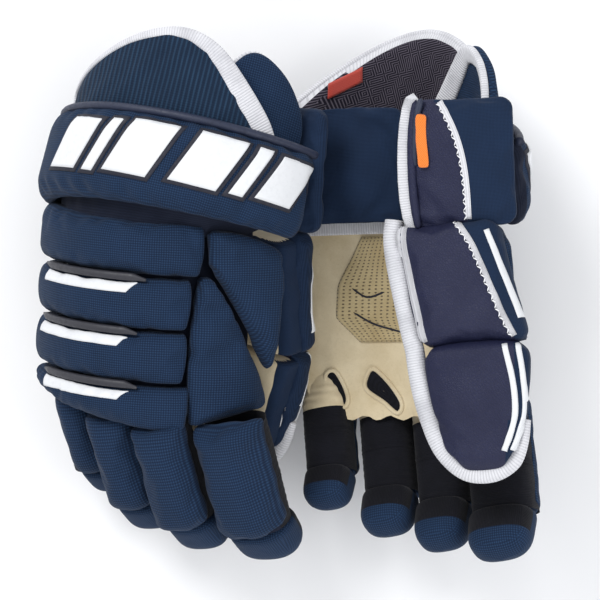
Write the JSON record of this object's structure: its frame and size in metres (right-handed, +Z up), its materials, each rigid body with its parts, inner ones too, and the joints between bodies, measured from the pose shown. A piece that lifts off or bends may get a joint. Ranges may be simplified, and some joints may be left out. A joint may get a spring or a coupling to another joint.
{
  "type": "ice hockey gloves",
  "caption": "Padded ice hockey gloves, a left and right pair, with segmented finger and hand padding, flared cuffs and leather palms, to protect a player's hands.",
  "frame": {"origin": "centre of the bounding box of the pair on the surface that the gloves lie on", "axes": "+X from the right glove to the left glove, +Y from the fingers to the cuffs, +Z up from the surface"},
  "size_m": [0.3346, 0.3532, 0.1663],
  "materials": {
    "navy_nylon": "woven",
    "slate_leather": "grained",
    "palm_leather": "suede",
    "stretch_fabric": "knitted",
    "lining": "patterned",
    "insert_board": "matte",
    "tab_webbing": "woven"
  },
  "bodies": {
    "left_hand": {"left_palm": "palm_leather", "left_roll_1": "navy_nylon", "left_roll_2": "navy_nylon", "left_roll_3": "navy_nylon", "left_roll_4": "navy_nylon", "left_web_pad": "navy_nylon", "left_thumb_back_pad": "navy_nylon", "left_liner": "lining"},
    "left_cuff": {"left_cuff_roll": "navy_nylon", "left_cuff_flare": "navy_nylon", "left_thumb_side_flare": "navy_nylon", "left_cuff_insert": "insert_board", "left_wrist_panel": "navy_nylon", "left_thumb_side_cuff": "slate_leather"},
    "left_tab": {"left_pull_tab": "tab_webbing"},
    "left_thumb": {"left_thumb_pad": "slate_leather", "left_thumb_sleeve": "palm_leather"},
    "left_thumb_end": {"left_thumb_tip": "slate_leather"},
    "left_little": {"left_little_pad": "navy_nylon", "left_little_sleeve": "stretch_fabric"},
    "left_little_end": {"left_little_tip": "navy_nylon"},
    "left_ring": {"left_ring_pad": "navy_nylon", "left_ring_sleeve": "stretch_fabric"},
    "left_ring_end": {"left_ring_tip": "navy_nylon"},
    "left_middle": {"left_middle_pad": "navy_nylon", "left_middle_sleeve": "stretch_fabric"},
    "left_middle_end": {"left_middle_tip": "navy_nylon"},
    "left_index": {"left_index_pad": "navy_nylon", "left_index_sleeve": "stretch_fabric"},
    "left_index_end": {"left_index_tip": "navy_nylon"},
    "right_hand": {"right_palm": "palm_leather", "right_roll_1": "navy_nylon", "right_roll_2": "navy_nylon", "right_roll_3": "navy_nylon", "right_roll_4": "navy_nylon", "right_web_pad": "navy_nylon", "right_thumb_back_pad": "navy_nylon", "right_liner": "lining"},
    "right_cuff": {"right_cuff_roll": "navy_nylon", "right_cuff_flare": "navy_nylon", "right_thumb_side_flare": "navy_nylon", "right_cuff_insert": "insert_board", "right_wrist_panel": "navy_nylon", "right_thumb_side_cuff": "slate_leather"},
    "right_tab": {"right_pull_tab": "tab_webbing"},
    "right_thumb": {"right_thumb_pad": "slate_leather", "right_thumb_sleeve": "palm_leather"},
    "right_thumb_end": {"right_thumb_tip": "slate_leather"},
    "right_little": {"right_little_pad": "navy_nylon", "right_little_sleeve": "stretch_fabric"},
    "right_little_end": {"right_little_tip": "navy_nylon"},
    "right_ring": {"right_ring_pad": "navy_nylon", "right_ring_sleeve": "stretch_fabric"},
    "right_ring_end": {"right_ring_tip": "navy_nylon"},
    "right_middle": {"right_middle_pad": "navy_nylon", "right_middle_sleeve": "stretch_fabric"},
    "right_middle_end": {"right_middle_tip": "navy_nylon"},
    "right_index": {"right_index_pad": "navy_nylon", "right_index_sleeve": "stretch_fabric"},
    "right_index_end": {"right_index_tip": "navy_nylon"}
  },
  "joints": [
    {"name": "right_glove_lift", "type": "slide", "parent": "left_hand", "child": "right_hand", "axis": [0, 0, 1], "range_m": [0, 0.25]},
    {"name": "left_wrist_bend", "type": "hinge", "parent": "left_hand", "child": "left_cuff", "pos_m": [0.05699, 0.04556, 0.08789], "axis": [0.9134, 0.0159, 0.4067], "range_deg": [-5, 2], "stiffness_Nm_per_rad": 8},
    {"name": "left_tab_hinge", "type": "hinge", "parent": "left_cuff", "child": "left_tab", "pos_m": [0.08378, 0.11264, 0.14047], "axis": [-0.9841, -0.0341, -0.1742], "range_deg": [0, 50], "stiffness_Nm_per_rad": 0.004},
    {"name": "left_thumb_base", "type": "hinge", "parent": "left_hand", "child": "left_thumb", "pos_m": [0.11974, 0.03517, 0.10718], "axis": [0.9733, 0.0841, 0.2137], "range_deg": [-15, 1], "stiffness_Nm_per_rad": 4},
    {"name": "left_thumb_joint", "type": "hinge", "parent": "left_thumb", "child": "left_thumb_end", "pos_m": [0.12397, -0.03424, 0.11522], "axis": [0.9733, 0.0841, 0.2137], "range_deg": [-4, 1], "stiffness_Nm_per_rad": 2},
    {"name": "left_little_knuckle", "type": "hinge", "parent": "left_hand", "child": "left_little", "pos_m": [0.01949, -0.06714, 0.05077], "axis": [-0.8916, -0.1888, -0.4116], "range_deg": [-3, 10], "stiffness_Nm_per_rad": 0.8},
    {"name": "left_little_joint", "type": "hinge", "parent": "left_little", "child": "left_little_end", "pos_m": [0.02252, -0.10916, 0.06349], "axis": [-0.8916, -0.1888, -0.4116], "range_deg": [-6, 45], "stiffness_Nm_per_rad": 0.5},
    {"name": "left_ring_knuckle", "type": "hinge", "parent": "left_hand", "child": "left_ring", "pos_m": [0.05815, -0.07454, 0.05304], "axis": [-0.8916, -0.1888, -0.4116], "range_deg": [-3, 30], "stiffness_Nm_per_rad": 0.8},
    {"name": "left_ring_joint", "type": "hinge", "parent": "left_ring", "child": "left_ring_end", "pos_m": [0.06159, -0.12228, 0.06749], "axis": [-0.8916, -0.1888, -0.4116], "range_deg": [-6, 45], "stiffness_Nm_per_rad": 0.5},
    {"name": "left_middle_knuckle", "type": "hinge", "parent": "left_hand", "child": "left_middle", "pos_m": [0.09298, -0.07885, 0.06704], "axis": [-0.8916, -0.1888, -0.4116], "range_deg": [-3, 30], "stiffness_Nm_per_rad": 0.8},
    {"name": "left_middle_joint", "type": "hinge", "parent": "left_middle", "child": "left_middle_end", "pos_m": [0.09655, -0.1285, 0.08207], "axis": [-0.8916, -0.1888, -0.4116], "range_deg": [-6, 45], "stiffness_Nm_per_rad": 0.5},
    {"name": "left_index_knuckle", "type": "hinge", "parent": "left_hand", "child": "left_index", "pos_m": [0.12897, -0.08191, 0.09373], "axis": [-0.8916, -0.1888, -0.4116], "range_deg": [-3, 10], "stiffness_Nm_per_rad": 0.8},
    {"name": "left_index_joint", "type": "hinge", "parent": "left_index", "child": "left_index_end", "pos_m": [0.13255, -0.13157, 0.10876], "axis": [-0.8916, -0.1888, -0.4116], "range_deg": [-6, 45], "stiffness_Nm_per_rad": 0.5},
    {"name": "right_wrist_bend", "type": "hinge", "parent": "right_hand", "child": "right_cuff", "pos_m": [-0.07506, 0.04962, 0.07414], "axis": [-0.9285, 0.0976, -0.3584], "range_deg": [-5, 2], "stiffness_Nm_per_rad": 8},
    {"name": "right_tab_hinge", "type": "hinge", "parent": "right_cuff", "child": "right_tab", "pos_m": [-0.01604, 0.11659, 0.0704], "axis": [0.812, -0.1192, 0.5714], "range_deg": [0, 15], "stiffness_Nm_per_rad": 0.004},
    {"name": "right_thumb_base", "type": "hinge", "parent": "right_hand", "child": "right_thumb", "pos_m": [-0.01793, 0.03069, 0.10234], "axis": [-0.8106, 0.2815, -0.5135], "range_deg": [-1, 1], "stiffness_Nm_per_rad": 4},
    {"name": "right_thumb_joint", "type": "hinge", "parent": "right_thumb", "child": "right_thumb_end", "pos_m": [-0.02653, -0.03505, 0.07987], "axis": [-0.8106, 0.2815, -0.5135], "range_deg": [-2, 1], "stiffness_Nm_per_rad": 2},
    {"name": "right_little_knuckle", "type": "hinge", "parent": "right_hand", "child": "right_little", "pos_m": [-0.13231, -0.05828, 0.05037], "axis": [0.9237, 0.0758, 0.3755], "range_deg": [-3, 30], "stiffness_Nm_per_rad": 0.8},
    {"name": "right_little_joint", "type": "hinge", "parent": "right_little", "child": "right_little_end", "pos_m": [-0.12279, -0.09841, 0.03505], "axis": [0.9237, 0.0758, 0.3755], "range_deg": [-6, 45], "stiffness_Nm_per_rad": 0.5},
    {"name": "right_ring_knuckle", "type": "hinge", "parent": "right_hand", "child": "right_ring", "pos_m": [-0.10405, -0.07203, 0.07416], "axis": [0.9237, 0.0758, 0.3755], "range_deg": [-3, 30], "stiffness_Nm_per_rad": 0.8},
    {"name": "right_ring_joint", "type": "hinge", "parent": "right_ring", "child": "right_ring_end", "pos_m": [-0.09323, -0.11764, 0.05675], "axis": [0.9237, 0.0758, 0.3755], "range_deg": [-6, 45], "stiffness_Nm_per_rad": 0.5},
    {"name": "right_middle_knuckle", "type": "hinge", "parent": "right_hand", "child": "right_middle", "pos_m": [-0.06993, -0.08074, 0.08785], "axis": [0.9237, 0.0758, 0.3755], "range_deg": [-3, 18], "stiffness_Nm_per_rad": 0.8},
    {"name": "right_middle_joint", "type": "hinge", "parent": "right_middle", "child": "right_middle_end", "pos_m": [-0.05867, -0.12816, 0.06975], "axis": [0.9237, 0.0758, 0.3755], "range_deg": [-6, 45], "stiffness_Nm_per_rad": 0.5},
    {"name": "right_index_knuckle", "type": "hinge", "parent": "right_hand", "child": "right_index", "pos_m": [-0.02585, -0.08696, 0.09387], "axis": [0.9237, 0.0758, 0.3755], "range_deg": [-3, 10], "stiffness_Nm_per_rad": 0.8},
    {"name": "right_index_joint", "type": "hinge", "parent": "right_index", "child": "right_index_end", "pos_m": [-0.0146, -0.13438, 0.07577], "axis": [0.9237, 0.0758, 0.3755], "range_deg": [-6, 45], "stiffness_Nm_per_rad": 0.5}
  ]
}
